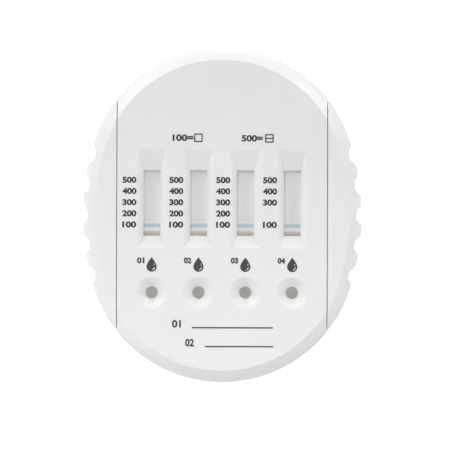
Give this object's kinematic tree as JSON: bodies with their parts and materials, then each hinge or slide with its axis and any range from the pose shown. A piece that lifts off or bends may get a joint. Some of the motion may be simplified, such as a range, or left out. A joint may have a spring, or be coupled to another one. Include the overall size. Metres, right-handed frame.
{
  "type": "lateral flow cassette",
  "caption": "Flat oval white plastic test cassette with scalloped side grips, funnel-shaped reading windows and sample wells over test strips.",
  "frame": {"origin": "centre of the flat back face, which the cassette lies on", "axes": "+Z out of the front face with the windows and wells, +Y along the strips from the sample wells to the absorbent end, +X across the strips"},
  "size_m": [0.0698, 0.084, 0.0065],
  "materials": {
    "shell_plastic": "satin",
    "card_plastic": "satin",
    "membrane": "matte",
    "conjugate_fibre": "matte",
    "sample_fibre": "matte",
    "absorbent_fibre": "matte",
    "print_ink": "matte"
  },
  "bodies": {
    "root": {"base": "shell_plastic", "cover": "shell_plastic", "side_grip_left": "shell_plastic", "side_grip_right": "shell_plastic", "backing_card_1": "card_plastic", "membrane_1": "membrane", "conjugate_pad_1": "conjugate_fibre", "sample_pad_1": "sample_fibre", "absorbent_pad_1": "absorbent_fibre", "backing_card_2": "card_plastic", "membrane_2": "membrane", "conjugate_pad_2": "conjugate_fibre", "sample_pad_2": "sample_fibre", "absorbent_pad_2": "absorbent_fibre", "backing_card_3": "card_plastic", "membrane_3": "membrane", "conjugate_pad_3": "conjugate_fibre", "sample_pad_3": "sample_fibre", "absorbent_pad_3": "absorbent_fibre", "backing_card_4": "card_plastic", "membrane_4": "membrane", "conjugate_pad_4": "conjugate_fibre", "sample_pad_4": "sample_fibre", "absorbent_pad_4": "absorbent_fibre"}
  },
  "joints": []
}
